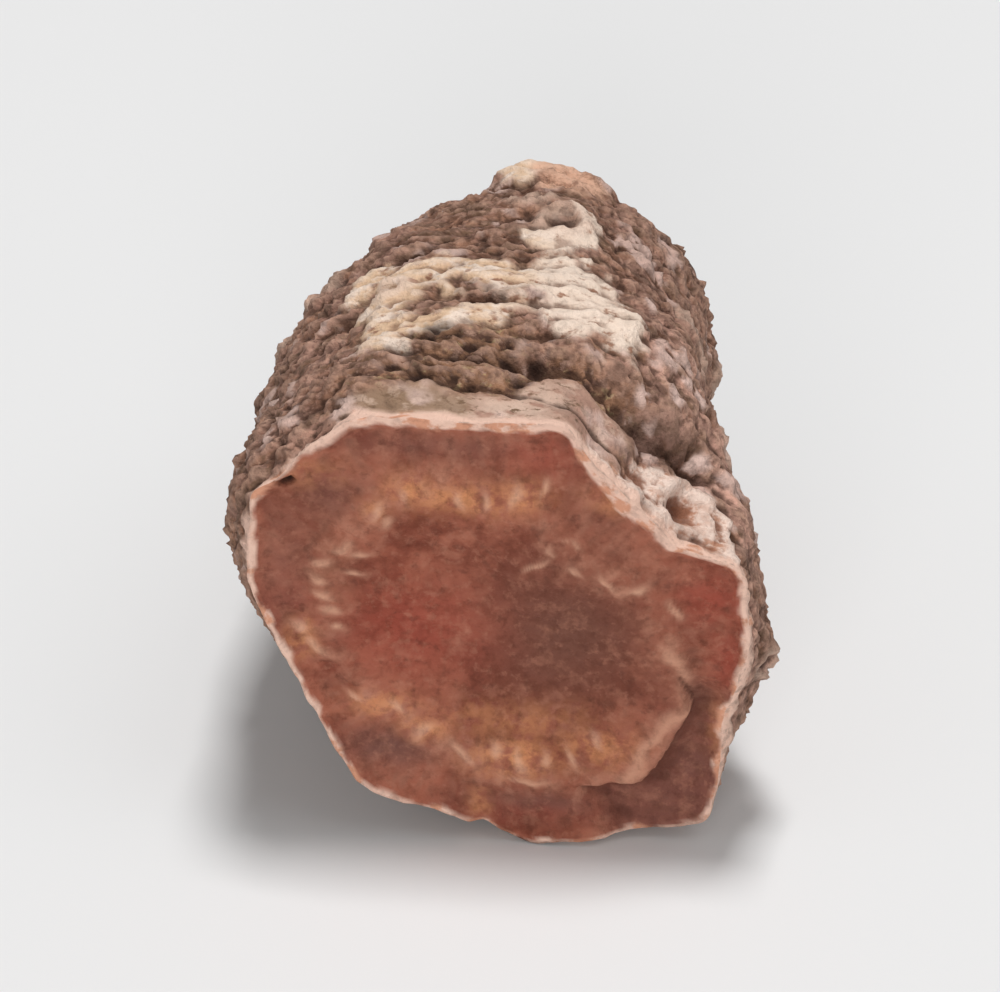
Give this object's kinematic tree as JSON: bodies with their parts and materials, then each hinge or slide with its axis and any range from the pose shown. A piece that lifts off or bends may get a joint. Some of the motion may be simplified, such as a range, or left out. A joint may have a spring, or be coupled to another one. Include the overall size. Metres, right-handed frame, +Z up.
{
  "type": "dried bistort rhizome",
  "caption": "Short dried root-stock stub with wrinkled dark bark, lying on its side, cut across to show reddish flesh with a ring of pale bundles",
  "frame": {"origin": "on the ground under the middle of the stub's box, where it lies", "axes": "+Z up, +Y along the stub from its fresh cut to its old rear end, +X to the right seen from the fresh cut"},
  "size_m": [0.0248, 0.0314, 0.0228],
  "materials": {
    "rhizome": "matte wrinkled bark with a dry reddish cut face"
  },
  "bodies": {
    "root": {"rhizome": "rhizome"}
  },
  "joints": []
}
